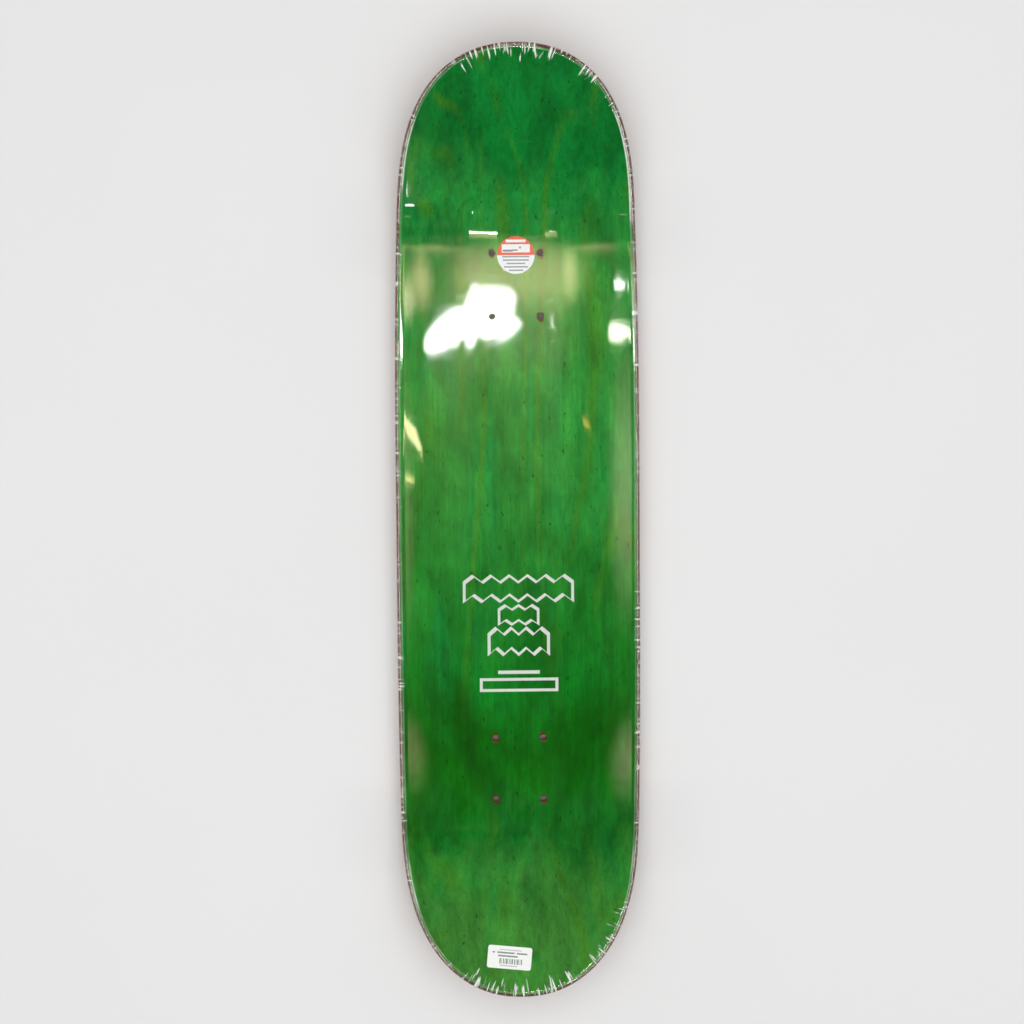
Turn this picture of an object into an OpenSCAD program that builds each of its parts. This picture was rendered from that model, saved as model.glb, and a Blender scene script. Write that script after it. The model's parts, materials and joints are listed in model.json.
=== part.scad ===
// A bare skateboard deck, new in its clear shrink film: seven pressed maple plies with a stained top
// face, a nose and a tail kicked up, a dished top and eight truck bolt holes. +X points to the nose,
// Y runs across the deck and +Z up. The origin is on the underside, midway between the trucks.

/* [Deck] */
// Overall length, from the tip of the tail to the tip of the nose
deck_length = 812.8; // [790:0.1:840]
// Overall width
deck_width = 209.55; // [200:0.05:222]
// Extra length of the nose over the tail, measured from the bolts
nose_extra = 11; // [0:0.5:16]
// Thickness of one veneer
ply_thickness = 1.55; // [1.4:0.01:1.7]
// Radius that rounds the rim over and under
edge_radius = 5.2; // [3:0.1:5.4]

/* [Truck bolts] */
// Distance between the inner bolt rows of the front and rear trucks
wheelbase = 365.125; // [355.6:0.125:371.475]
// Distance between a truck's two bolt rows, along the deck
bolt_rows = 53.975; // [53.975:0.025:63.5]
// Distance between the two bolts of a row, across the deck
bolt_spacing = 41.275; // [40:0.025:42]
// Diameter of a bolt hole
bolt_hole = 5.5; // [5:0.1:6]

/* [Kicks] */
// Distance from the outer bolt row to the start of the bend
bend_start = 15; // [15:0.5:22]
// Radius of the bend
bend_radius = 90; // [70:1:120]
// Angle of the nose
nose_angle = 20; // [16:0.5:22]
// Angle of the tail
tail_angle = 19; // [16:0.5:22]

/* [Concave] */
// Height of the rails over the flat centre strip
concave_depth = 11; // [6:0.5:14]
// Half the width of the flat centre strip
flat_half_width = 34; // [33:0.5:40]
// How suddenly the sides turn up: 1 is a straight slope
concave_power = 1.8; // [1.4:0.1:2.4]
// Share of the concave that is left at the tips of the kicks
tip_concave = 0.45; // [0.3:0.05:1]

/* [Outline] */
// Distance from the middle at which the nose starts to round
nose_round_start = 248; // [240:1:256]
// Distance from the middle at which the tail starts to round
tail_round_start = 243; // [236:1:250]
// How square the nose is: 2 is an ellipse
nose_squareness = 3.3; // [2.4:0.1:3.6]
// How square the tail is: 2 is an ellipse
tail_squareness = 2.7; // [2.2:0.1:3.2]
// How much each side draws in towards the nose before it rounds
nose_taper = 9; // [4:0.5:10]
// How much each side draws in towards the tail before it rounds
tail_taper = 5.5; // [3:0.5:8]

/* [Wrapping, labels and print] */
// Thickness of the film, drawn thicker than the real film
film_thickness = 0.2; // [0.15:0.05:0.3]
// Diameter of the round warning sticker
sticker_diameter = 32; // [28:1:32]
// Width of the stock label, across the deck
label_width = 38; // [34:1:40]
// Length of the stock label, along the deck
label_length = 19.5; // [16:0.5:22]
// Thickness of the sticker and of the label
paper_thickness = 0.12; // [0.1:0.01:0.2]
// Thickness of the printed ink
ink_thickness = 0.06; // [0.04:0.01:0.08]

/* [Hidden] */

PLIES = 7;
HOLE_FACETS = 48;
deck_thickness = PLIES * ply_thickness;
half_width = deck_width / 2;
inner_bolts_x = wheelbase / 2;
outer_bolts_x = inner_bolts_x + bolt_rows;
bend_x = outer_bolts_x + bend_start;

// The film lies this far off the wood
film_gap = 0.1;
film_outside = film_gap + film_thickness;
film_top = deck_thickness + film_outside;

// Each end of the outline: [tip, where rounding starts, where the taper starts, taper, squareness]
nose_taper_start = 67;
tail_taper_start = 99;
nose_end = [(deck_length + nose_extra) / 2, nose_round_start, nose_taper_start, nose_taper,
            nose_squareness];
tail_end = [(deck_length - nose_extra) / 2, tail_round_start, tail_taper_start, tail_taper,
            tail_squareness];
corner_squareness = 2.2;

// Steps of the mesh: along each rounded end, along the body, and across each raised side
END_STEPS = 14;
BODY_STEPS = 10;
SIDE_STEPS = 4;
END_STEP_POWER = 1.5;

sticker_x = outer_bolts_x - 1.8;
label_x = -367.9;
label_y = 10.9;
label_turn = -5.6;
label_corner = 2;

maple = "#d9b98a";
cross_maple = "#cfa877";

// ---- The pressed surface ----

function clamp01(v) = min(max(v, 0), 1);

function kick_angle(x) = x > 0 ? nose_angle : tail_angle;

// How far x lies past the start of its bend, and how far the bend itself runs
function past_bend(x) = max(abs(x) - bend_x, 0);
function bend_run(x) = bend_radius * sin(kick_angle(x));

function slope(x) = asin(min(past_bend(x), bend_run(x)) / bend_radius);

function kick_height(x) =
    let (along = past_bend(x), run = bend_run(x))
    along < run
        ? bend_radius - sqrt(pow(bend_radius, 2) - pow(along, 2))
        : bend_radius * (1 - cos(kick_angle(x))) + (along - run) * tan(kick_angle(x));

function concave_share(x) =
    1 - (1 - tip_concave) * clamp01(past_bend(x) / (deck_length / 2 - bend_x));

function concave_height(x, y) =
    let (up = max(abs(y) - flat_half_width, 0) / (half_width - flat_half_width))
    concave_depth * concave_share(x) * pow(up, concave_power);

// Height at a level through the thickness, from 0 at the underside to deck_thickness on top
function height_at(x, y, level) = kick_height(x) + concave_height(x, y) + level / cos(slope(x));

// ---- The outline ----

function taper_at(end, x) = end[3] * pow(max(x - end[2], 0) / (end[0] - end[2]), 2);

// A point on the rounded part of an end: turn is 0 at its start and 90 at the tip
function end_point(end, turn) =
    let (x = end[1] + (end[0] - end[1]) * pow(sin(turn), 2 / end[4]))
    [x, (half_width - taper_at(end, x)) * pow(cos(turn), 2 / corner_squareness)];

function end_points(end) =
    [for (i = [1 : END_STEPS - 1]) end_point(end, 90 * pow(i / END_STEPS, END_STEP_POWER))];

function body_points() = [
    for (i = [0 : BODY_STEPS])
        let (x = -tail_end[1] + (tail_end[1] + nose_end[1]) * i / BODY_STEPS)
        [x, half_width - (x > 0 ? taper_at(nose_end, x) : taper_at(tail_end, -x))]
];

function reversed(list) = [for (i = [len(list) - 1 : -1 : 0]) list[i]];

// One side of the outline, from the tip of the tail to the tip of the nose
side = concat(
    [[-tail_end[0], 0]],
    [for (p = reversed(end_points(tail_end))) [-p[0], p[1]]],
    body_points(),
    end_points(nose_end),
    [[nose_end[0], 0]]
);
ROWS = len(side) - 1;

function outward(i) =
    i == 0 ? [-1, 0]
    : i == ROWS ? [1, 0]
    : let (along = side[i + 1] - side[i - 1]) [-along[1], along[0]] / norm(along);

// How far the rounded rim lies inside the outline at a level
function rim_inset(level) =
    let (depth = max(min(level, deck_thickness - level), 0),
         short = edge_radius - min(depth, edge_radius))
    edge_radius - sqrt(pow(edge_radius, 2) - pow(short, 2));

function side_at(i, level, grow) = side[i] + (grow - rim_inset(level)) * outward(i);

// ---- A solid between levels, gridded in rows along the deck and columns across it ----

flat_share = flat_half_width / half_width;
right_columns = [for (k = [0 : SIDE_STEPS]) flat_share + (1 - flat_share) * k / SIDE_STEPS];
columns = concat(-reversed(right_columns), right_columns);
LAST_COLUMN = len(columns) - 1;
GRID_POINTS = 2 + (ROWS - 1) * len(columns);
RIM_POINTS = 2 * ROWS;

function surface_point(p, level) = [p[0], p[1], height_at(p[0], p[1], level)];

function row_points(i, level, grow) =
    let (p = side_at(i, level, grow))
    [for (share = columns) surface_point([p[0], p[1] * share], level)];

function tip_point(i, level, grow) = surface_point([side_at(i, level, grow)[0], 0], level);

function grid_points(level, grow) = concat(
    [tip_point(0, level, grow)],
    [for (i = [1 : ROWS - 1]) each row_points(i, level, grow)],
    [tip_point(ROWS, level, grow)]
);

// The rim runs from the tail along the right side to the nose, and back along the left side
function rim_points(level, grow) = [
    for (m = [0 : RIM_POINTS - 1])
        let (i = m <= ROWS ? m : RIM_POINTS - m, p = side_at(i, level, grow))
        surface_point([p[0], m <= ROWS ? -p[1] : p[1]], level)
];

function grid_index(i, j) = i == 0 ? 0 : i == ROWS ? GRID_POINTS - 1 : 1 + (i - 1) * len(columns) + j;

function rim_on_grid(m) = m <= ROWS ? grid_index(m, 0) : grid_index(RIM_POINTS - m, LAST_COLUMN);

// Triangles of the grid that wind clockwise as seen from below, or from above when turned over
function grid_faces(base, turned) = [
    for (i = [0 : ROWS - 1], j = [0 : LAST_COLUMN - 1], half = [0, 1])
        if (!(i == 0 && half == 1) && !(i == ROWS - 1 && half == 0))
            let (a = grid_index(i, j),
                 b = grid_index(i + 1, half == 0 ? j : j + 1),
                 c = half == 0 ? grid_index(i + 1, j + 1) : grid_index(i, j + 1))
            turned ? [base + a, base + c, base + b] : [base + a, base + b, base + c]
];

// Index of rim point m on layer k, where the first and last layers are whole grids
function layer_rim(k, last, m) =
    let (n = m % RIM_POINTS)
    k == 0 ? rim_on_grid(n)
    : k < last ? GRID_POINTS + (k - 1) * RIM_POINTS + n
    : GRID_POINTS + (last - 1) * RIM_POINTS + rim_on_grid(n);

function wall_faces(last) = [
    for (k = [0 : last - 1], m = [0 : RIM_POINTS - 1], half = [0, 1])
        half == 0
            ? [layer_rim(k, last, m), layer_rim(k + 1, last, m), layer_rim(k + 1, last, m + 1)]
            : [layer_rim(k, last, m), layer_rim(k + 1, last, m + 1), layer_rim(k, last, m + 1)]
];

module between(levels, grow = 0) {
    last = len(levels) - 1;
    middle = [for (k = [1 : 1 : last - 1]) each rim_points(levels[k], grow)];
    polyhedron(
        points = concat(grid_points(levels[0], grow), middle, grid_points(levels[last], grow)),
        faces = concat(
            grid_faces(0, false),
            wall_faces(last),
            grid_faces(GRID_POINTS + (last - 1) * RIM_POINTS, true)
        )
    );
}

// ---- Pieces ----

module bolt_holes() {
    margin = 5;
    for (end = [-1, 1], x = [inner_bolts_x, outer_bolts_x], y = [-1, 1])
        translate([end * x, y * bolt_spacing / 2, -margin])
            cylinder(d = bolt_hole, h = deck_thickness + 2 * margin, $fn = HOLE_FACETS);
}

// The veneer that is number k up from the underside, counted from 0
module ply(k) {
    difference() {
        between([k * ply_thickness, (k + 1) * ply_thickness]);
        bolt_holes();
    }
}

module bottom_face_ply() { color(maple) ply(0); }
module lower_long_ply() { color(maple) ply(1); }
module lower_cross_ply() { color(cross_maple) ply(2); }
module core_ply() { color(maple) ply(3); }
module upper_cross_ply() { color(cross_maple) ply(4); }
module upper_long_ply() { color("#7a4630") ply(5); }
module top_face_ply() { color("#2d8a30") ply(6); }

// The whole deck grown on every side, which the film is cut from
module grown_deck(grow) {
    inner_levels = [for (k = [1 : PLIES - 1]) k * ply_thickness];
    between(concat([-grow], inner_levels, [deck_thickness + grow]), grow);
}

module shrink_film() {
    color([0.93, 0.96, 0.95, 0.25])
        difference() {
            grown_deck(film_outside);
            grown_deck(film_gap);
            bolt_holes();
        }
}

module warning_sticker() {
    color("#f06a4a")
        translate([sticker_x, 0, film_top])
            cylinder(d = sticker_diameter, h = paper_thickness, $fn = 96);
}

module stock_label() {
    color("#f4f4f1")
        translate([label_x, label_y, height_at(label_x, label_y, film_top)])
            rotate([0, tail_angle, 0])
                rotate([0, 0, label_turn])
                    linear_extrude(paper_thickness) rounded_rectangle(label_length, label_width, label_corner);
}

module rounded_rectangle(length, width, corner) {
    for (inset = [[corner, 0], [0, corner]])
        square([length - 2 * inset[0], width - 2 * inset[1]], center = true);
    for (x = [-1, 1], y = [-1, 1])
        translate([x * (length / 2 - corner), y * (width / 2 - corner)])
            circle(r = corner, $fn = 32);
}

// A zigzag band across the deck: width across, height of the band along, and how far it zigzags
function zigzag(width, height, swing, teeth) =
    let (across = [for (k = [0 : 2 * teeth]) [(k % 2 - 0.5) * swing, width * (k / (2 * teeth) - 0.5)]])
    concat([for (p = across) p + [height / 2, 0]], [for (p = reversed(across)) p - [height / 2, 0]]);

module zigzag_outline(width, height, swing, teeth, stroke) {
    difference() {
        polygon(zigzag(width, height, swing, teeth));
        polygon(zigzag(width - 2 * stroke, height - 2 * stroke, swing * (1 - 2 * stroke / width), teeth));
    }
}

// Three zigzag outlines over a pair of bars
module graphic_outline() {
    translate([-52, 0]) zigzag_outline(96, 19, 6, 6, 2.4);
    translate([-75, 0]) zigzag_outline(36, 15, 4, 3, 2.2);
    translate([-98, 0]) zigzag_outline(54, 20, 6, 4, 2.6);
    translate([-125, 0]) square([3, 36], center = true);
    translate([-136, 0])
        difference() {
            square([12, 68], center = true);
            square([7, 63], center = true);
        }
}

module printed_graphic() {
    color("#dfe3dc")
        intersection() {
            between([deck_thickness, deck_thickness + ink_thickness]);
            linear_extrude(2 * deck_thickness) graphic_outline();
        }
}

top_face_ply();
upper_long_ply();
upper_cross_ply();
core_ply();
lower_cross_ply();
lower_long_ply();
bottom_face_ply();
shrink_film();
warning_sticker();
stock_label();
printed_graphic();
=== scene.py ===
"""A new seven-ply skateboard deck in its clear shrink film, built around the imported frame."""

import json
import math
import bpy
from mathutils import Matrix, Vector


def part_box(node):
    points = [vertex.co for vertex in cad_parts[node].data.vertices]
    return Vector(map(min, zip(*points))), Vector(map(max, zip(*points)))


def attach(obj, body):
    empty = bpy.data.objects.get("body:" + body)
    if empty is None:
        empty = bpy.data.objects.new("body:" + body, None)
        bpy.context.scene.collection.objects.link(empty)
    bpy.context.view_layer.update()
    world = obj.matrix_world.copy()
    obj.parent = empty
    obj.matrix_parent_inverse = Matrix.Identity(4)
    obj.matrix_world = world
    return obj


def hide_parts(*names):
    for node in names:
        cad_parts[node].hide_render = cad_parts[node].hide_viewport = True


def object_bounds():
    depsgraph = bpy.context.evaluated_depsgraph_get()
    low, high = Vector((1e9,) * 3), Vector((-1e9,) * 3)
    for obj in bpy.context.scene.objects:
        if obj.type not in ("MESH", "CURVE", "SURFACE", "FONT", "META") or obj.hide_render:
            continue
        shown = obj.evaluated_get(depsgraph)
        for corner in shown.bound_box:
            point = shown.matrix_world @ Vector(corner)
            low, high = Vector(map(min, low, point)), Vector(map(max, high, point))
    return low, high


bl_info = {
    "name": "Wrapped Skateboard Deck",
    "version": (1, 0, 0),
    "blender": (4, 5, 0),
    "location": "3D View > Sidebar > Deck",
    "description": "Builds a stained seven-ply deck with its film, sticker, label and print",
    "category": "Add Mesh",
}

import bmesh
import bpy
from bpy.props import FloatProperty, FloatVectorProperty, PointerProperty
from mathutils import Matrix, Vector, noise

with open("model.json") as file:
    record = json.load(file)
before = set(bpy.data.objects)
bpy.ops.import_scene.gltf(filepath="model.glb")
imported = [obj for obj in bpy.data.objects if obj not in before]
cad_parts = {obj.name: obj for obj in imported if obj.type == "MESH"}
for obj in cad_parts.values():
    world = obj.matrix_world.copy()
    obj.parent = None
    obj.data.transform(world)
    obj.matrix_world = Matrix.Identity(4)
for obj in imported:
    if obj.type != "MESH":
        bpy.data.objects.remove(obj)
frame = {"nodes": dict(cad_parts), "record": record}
cad_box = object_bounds()

MM = 0.001
PLIES = 7
# Edges that turn by more than this many degrees stay sharp
SHARP_ANGLE = 35
DRILL_LENGTH = 60
HOLE_SEGMENTS = 48
# Points nearer than this, in metres, are one
TOUCHING = 1e-7


def colour(code):
    """A linear RGBA colour from an sRGB hex code."""
    channels = [int(code[i:i + 2], 16) / 255 for i in (1, 3, 5)]
    return tuple(c / 12.92 if c <= 0.04045 else ((c + 0.055) / 1.055) ** 2.4 for c in channels) + (1.0,)


def clamp01(value):
    return min(max(value, 0.0), 1.0)


def smooth_step(low, high, value):
    t = clamp01((value - low) / (high - low))
    return t * t * (3 - 2 * t)


# ---- What a user may change ----


class DeckSizes(bpy.types.PropertyGroup):
    """Sizes of the pressed deck, in millimetres, as the frame has them."""

    nose_tip: FloatProperty(
        name="Nose tip", description="From the middle of the trucks to the nose", default=411.9,
    )
    tail_tip: FloatProperty(
        name="Tail tip", description="From the middle of the trucks to the tail", default=400.9,
    )
    half_width: FloatProperty(
        name="Half width", description="Half of the deck's width", default=104.775,
    )
    ply_thickness: FloatProperty(
        name="Ply", description="Thickness of one veneer with its glue", default=1.55,
    )
    edge_radius: FloatProperty(
        name="Edge radius", description="How far the rim is rounded over", default=5.2,
    )
    bend_x: FloatProperty(
        name="Bend", description="From the middle to where nose and tail bend up", default=251.5375,
    )
    bend_radius: FloatProperty(name="Bend radius", description="Radius of both bends", default=90.0)
    nose_angle: FloatProperty(
        name="Nose angle", description="How far the nose bends up",
        default=math.radians(20.0), subtype="ANGLE",
    )
    tail_angle: FloatProperty(
        name="Tail angle", description="How far the tail bends up",
        default=math.radians(19.0), subtype="ANGLE",
    )
    concave_depth: FloatProperty(
        name="Concave", description="How far the sides rise over the middle", default=11.0,
    )
    flat_half_width: FloatProperty(
        name="Flat half width", description="Half width of the flat middle", default=34.0,
    )
    bolt_hole: FloatProperty(name="Bolt hole", description="Diameter of a truck bolt hole", default=5.5)
    film_gap: FloatProperty(
        name="Film gap", description="How far the film lies off the wood", default=0.1,
    )
    film_thickness: FloatProperty(name="Film", description="Thickness of the film", default=0.2)
    sticker_diameter: FloatProperty(
        name="Sticker", description="Diameter of the round sticker", default=32.0,
    )
    label_width: FloatProperty(
        name="Label width", description="Width of the label, across the deck", default=38.0,
    )
    label_length: FloatProperty(
        name="Label length", description="Length of the label, along the deck", default=19.5,
    )
    paper_thickness: FloatProperty(
        name="Paper", description="Thickness of sticker and label", default=0.12,
    )


class DeckFinish(bpy.types.PropertyGroup):
    """Colours of the finishes."""

    olive: FloatVectorProperty(
        name="Olive figure", description="Figure of the top where the stain took less",
        subtype="COLOR", size=4, min=0, max=1, default=colour("#3f801a"),
    )
    teal: FloatVectorProperty(
        name="Blue-green patches", description="Patches of the top where the stain lies thicker",
        subtype="COLOR", size=4, min=0, max=1, default=colour("#007c34"),
    )
    dye: FloatVectorProperty(
        name="Dyed ply", description="Red-brown dye of the second ply",
        subtype="COLOR", size=4, min=0, max=1, default=colour("#5c2c1c"),
    )
    maple: FloatVectorProperty(
        name="Maple", description="Bare maple",
        subtype="COLOR", size=4, min=0, max=1, default=colour("#d9b08c"),
    )
    ink: FloatVectorProperty(
        name="Print", description="Ink of the printed graphic",
        subtype="COLOR", size=4, min=0, max=1, default=colour("#dfe3dc"),
    )


class DeckStage(bpy.types.PropertyGroup):
    """Camera and light."""

    camera_distance: FloatProperty(
        name="Camera distance", description="From the camera to the deck's middle",
        default=2.49, unit="LENGTH",
    )
    camera_pitch: FloatProperty(
        name="Pitch", description="How far the view leans to the nose",
        default=math.radians(5.5), subtype="ANGLE",
    )
    camera_yaw: FloatProperty(
        name="Yaw", description="How far the view leans to the left side",
        default=math.radians(1.29), subtype="ANGLE",
    )
    camera_roll: FloatProperty(
        name="Roll", description="How far the view is turned",
        default=math.radians(0.577), subtype="ANGLE",
    )
    lens: FloatProperty(name="Lens", description="Focal length", default=101.14, unit="CAMERA")
    floor_side: FloatProperty(
        name="Floor", description="Side of the square floor", default=16.0, unit="LENGTH",
    )
    surround: FloatProperty(
        name="Surround", description="Brightness of the pale walls round the floor", default=0.40,
    )


# ---- The pressed surface ----


class Pressing:
    """The deck's outline, bends, hollow and rounded rim, in millimetres."""

    # Each end of the outline: where rounding starts, where the taper starts, taper, squareness
    NOSE_END = (248.0, 67.0, 9.0, 3.3)
    TAIL_END = (243.0, 99.0, 5.5, 2.7)
    CORNER_SQUARENESS = 2.2
    CONCAVE_POWER = 1.8
    TIP_CONCAVE = 0.45
    # Shares of the rows that fall on the tail's rounding, and on the tail's rounding and the body
    TAIL_ROWS = 0.3
    BODY_ROWS = 0.7
    END_ROW_POWER = 1.5

    def __init__(self, sizes):
        self.nose_tip = sizes.nose_tip
        self.tail_tip = sizes.tail_tip
        self.half_width = sizes.half_width
        self.thickness = PLIES * sizes.ply_thickness
        self.ply = sizes.ply_thickness
        self.radius = sizes.edge_radius
        self.bend_x = sizes.bend_x
        self.bend_radius = sizes.bend_radius
        self.angles = (sizes.tail_angle, sizes.nose_angle)
        self.depth = sizes.concave_depth
        self.flat = sizes.flat_half_width

    def kick_angle(self, x):
        return self.angles[x > 0]

    def past_bend(self, x):
        return max(abs(x) - self.bend_x, 0.0)

    def slope(self, x):
        run = self.bend_radius * math.sin(self.kick_angle(x))
        return math.asin(min(self.past_bend(x), run) / self.bend_radius)

    def kick_height(self, x):
        past = self.past_bend(x)
        angle = self.kick_angle(x)
        run = self.bend_radius * math.sin(angle)
        if past < run:
            return self.bend_radius - math.sqrt(self.bend_radius ** 2 - past ** 2)
        return self.bend_radius * (1 - math.cos(angle)) + (past - run) * math.tan(angle)

    def concave_height(self, x, y):
        half_length = (self.nose_tip + self.tail_tip) / 2
        fade = clamp01(self.past_bend(x) / (half_length - self.bend_x))
        share = 1 - (1 - self.TIP_CONCAVE) * fade
        up = max(abs(y) - self.flat, 0.0) / (self.half_width - self.flat)
        return self.depth * share * up ** self.CONCAVE_POWER

    def height(self, x, y, level):
        """Height at a level through the thickness, from 0 at the underside to the thickness on top."""
        return self.kick_height(x) + self.concave_height(x, y) + level / math.cos(self.slope(x))

    def width_at(self, x, end, tip):
        _, taper_start, taper, _ = end
        return self.half_width - taper * (max(x - taper_start, 0.0) / (tip - taper_start)) ** 2

    def end_point(self, share, end, tip):
        """A point on a rounded end: share is 0 where rounding starts and 1 at the tip."""
        turn = math.pi / 2 * share ** self.END_ROW_POWER
        x = end[0] + (tip - end[0]) * math.sin(turn) ** (2 / end[3])
        y = self.width_at(x, end, tip) * max(math.cos(turn), 0.0) ** (2 / self.CORNER_SQUARENESS)
        return x, (y if share < 1 else 0.0)

    def outline(self, along):
        """A point on the left side of the outline, from the tail's tip at 0 to the nose's tip at 1."""
        if along < self.TAIL_ROWS:
            x, y = self.end_point(1 - along / self.TAIL_ROWS, self.TAIL_END, self.tail_tip)
            return -x, y
        if along > self.BODY_ROWS:
            share = (along - self.BODY_ROWS) / (1 - self.BODY_ROWS)
            return self.end_point(share, self.NOSE_END, self.nose_tip)
        share = (along - self.TAIL_ROWS) / (self.BODY_ROWS - self.TAIL_ROWS)
        x = -self.TAIL_END[0] + share * (self.TAIL_END[0] + self.NOSE_END[0])
        if x > 0:
            return x, self.width_at(x, self.NOSE_END, self.nose_tip)
        return x, self.width_at(-x, self.TAIL_END, self.tail_tip)

    def outward(self, along):
        """The outline's outward direction there."""
        step = 0.0005
        if along < step:
            return -1.0, 0.0
        if along > 1 - step:
            return 1.0, 0.0
        x0, y0 = self.outline(along - step)
        x1, y1 = self.outline(along + step)
        length = math.hypot(x1 - x0, y1 - y0)
        return -(y1 - y0) / length, (x1 - x0) / length

    def rim_inset(self, level):
        """How far the rounded rim lies inside the outline at a level."""
        depth = max(min(level, self.thickness - level), 0.0)
        short = self.radius - min(depth, self.radius)
        return self.radius - math.sqrt(self.radius ** 2 - short ** 2)

    def place(self, along, across, level, grow=0.0):
        """A point in metres: along the outline, across from side to side, and up from the underside."""
        x, y = self.outline(along)
        out_x, out_y = self.outward(along)
        offset = grow - self.rim_inset(level)
        x += offset * out_x
        y = max(y + offset * out_y, 0.0) * across
        return Vector((x, y, self.height(x, y, level))) * MM


# ---- Mesh work ----


def raise_slab(bm, thickness):
    """Gives a flat sheet its thickness."""
    raised = bmesh.ops.extrude_face_region(bm, geom=bm.faces[:], use_keep_orig=True)
    top = [item for item in raised["geom"] if isinstance(item, bmesh.types.BMVert)]
    bmesh.ops.translate(bm, verts=top, vec=(0, 0, thickness))


def grid_block(rows, columns, steps):
    """A closed block of a grid: x across and y along, each from -1 to 1, and z up from 0 to 1."""
    bm = bmesh.new()
    bmesh.ops.create_grid(bm, x_segments=columns, y_segments=rows, size=1.0)
    raise_slab(bm, 1)
    upright = [e for e in bm.edges if abs(e.verts[0].co.z - e.verts[1].co.z) > 0.5]
    bmesh.ops.subdivide_edges(bm, edges=upright, cuts=steps - 1, use_grid_fill=True)
    return bm


def close_up(bm, crease=SHARP_ANGLE):
    """Welds what meets, turns the faces outwards and shades them smooth up to sharp edges."""
    bmesh.ops.remove_doubles(bm, verts=bm.verts[:], dist=TOUCHING)
    bmesh.ops.dissolve_degenerate(bm, edges=bm.edges[:], dist=TOUCHING)
    bmesh.ops.recalc_face_normals(bm, faces=bm.faces[:])
    for face in bm.faces:
        face.smooth = True
    for edge in bm.edges:
        edge.smooth = edge.calc_face_angle(0.0) < math.radians(crease)


def link_object(name, bm, material):
    """Turns a bmesh into an object of one material."""
    mesh = bpy.data.meshes.new(name)
    bm.to_mesh(mesh)
    bm.free()
    mesh.materials.append(material)
    made = bpy.data.objects.new(name, mesh)
    bpy.context.scene.collection.objects.link(made)
    return made


def make_object(name, bm, material, slot, *nodes):
    """Turns a bmesh into a piece that rides on the deck and stands for its CAD nodes."""
    piece = link_object(name, bm, material)
    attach(piece, "root")
    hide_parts(*nodes)
    return piece


def bolt_places():
    """The middles of the eight bolt holes, in metres, from the frame's mounts."""
    places = []
    for mount in frame["record"]["mounts"]:
        if mount["kind"] != "bolt_pattern":
            continue
        x, y = mount["pos_m"][:2]
        half_along = mount["dims"]["spacing_x_mm"] / 2 * MM
        half_across = mount["dims"]["spacing_y_mm"] / 2 * MM
        places += [(x + i * half_along, y + j * half_across) for i in (-1, 1) for j in (-1, 1)]
    return places


def drill(piece, sizes, flare):
    """Cuts the bolt holes through a piece, and where flare is over 0 breaks the edge at the top."""
    radius = sizes.bolt_hole / 2 * MM
    places = bolt_places()
    bm = bmesh.new()
    for x, y in places:
        bmesh.ops.create_cone(
            bm, cap_ends=True, segments=HOLE_SEGMENTS, radius1=radius, radius2=radius,
            depth=DRILL_LENGTH * MM,
            matrix=Matrix.Translation((x, y, 0)),
        )
    mesh = bpy.data.meshes.new("drill")
    bm.to_mesh(mesh)
    bm.free()
    cutter = bpy.data.objects.new("drill", mesh)
    bpy.context.scene.collection.objects.link(cutter)
    cut = piece.modifiers.new("bolt_holes", "BOOLEAN")
    cut.operation = "DIFFERENCE"
    cut.object = cutter
    cut.solver = "EXACT"
    bpy.context.view_layer.update()
    drilled = bpy.data.meshes.new_from_object(piece.evaluated_get(bpy.context.evaluated_depsgraph_get()))
    piece.modifiers.clear()
    piece.data = drilled
    bpy.data.objects.remove(cutter)
    bpy.data.meshes.remove(mesh)
    bm = bmesh.new()
    bm.from_mesh(drilled)
    if flare > 0:
        level = PLIES * sizes.ply_thickness * MM

        def on_rim(vert):
            near = min(abs(math.hypot(vert.co.x - x, vert.co.y - y) - radius) for x, y in places)
            return near < 0.01 * MM and abs(vert.co.z - level) < 0.001 * MM

        rims = [e for e in bm.edges if on_rim(e.verts[0]) and on_rim(e.verts[1])]
        if len(rims) < len(places) * HOLE_SEGMENTS:
            raise RuntimeError(f"{piece.name} has only {len(rims)} edges round its bolt holes")
        bmesh.ops.bevel(
            bm, geom=rims, offset=flare, offset_type="OFFSET", affect="EDGES", segments=2, profile=0.5,
            material=-1,
        )
    for edge in bm.edges:
        edge.smooth = edge.calc_face_angle(0.0) < math.radians(SHARP_ANGLE)
    bm.to_mesh(drilled)
    bm.free()


def check_place(piece, node, allowance):
    """Raises if a piece isn't where its CAD node is."""
    low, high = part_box(node)
    corners = [piece.matrix_world @ v.co for v in piece.data.vertices]
    for axis in range(3):
        found = min(c[axis] for c in corners), max(c[axis] for c in corners)
        if abs(found[0] - low[axis]) > allowance or abs(found[1] - high[axis]) > allowance:
            wanted = low[axis], high[axis]
            raise RuntimeError(f"{piece.name} is off its CAD node {node}: {found} for {wanted}")


# ---- Materials ----


def add(tree, kind, inputs=None, **settings):
    """Adds a node with its settings. An input is a value, an output, or a node for its first output."""
    node = tree.nodes.new("ShaderNode" + kind)
    for name, value in settings.items():
        setattr(node, name, value)
    for name, value in (inputs or {}).items():
        if isinstance(value, bpy.types.Node):
            value = value.outputs[0]
        if isinstance(value, bpy.types.NodeSocket):
            tree.links.new(value, node.inputs[name])
        else:
            node.inputs[name].default_value = value
    return node


def new_material(name):
    material = bpy.data.materials.new(name)
    material.use_nodes = True
    material.node_tree.nodes.clear()
    return material, material.node_tree


def finish_material(tree, shader):
    add(tree, "OutputMaterial", {"Surface": shader})


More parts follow.
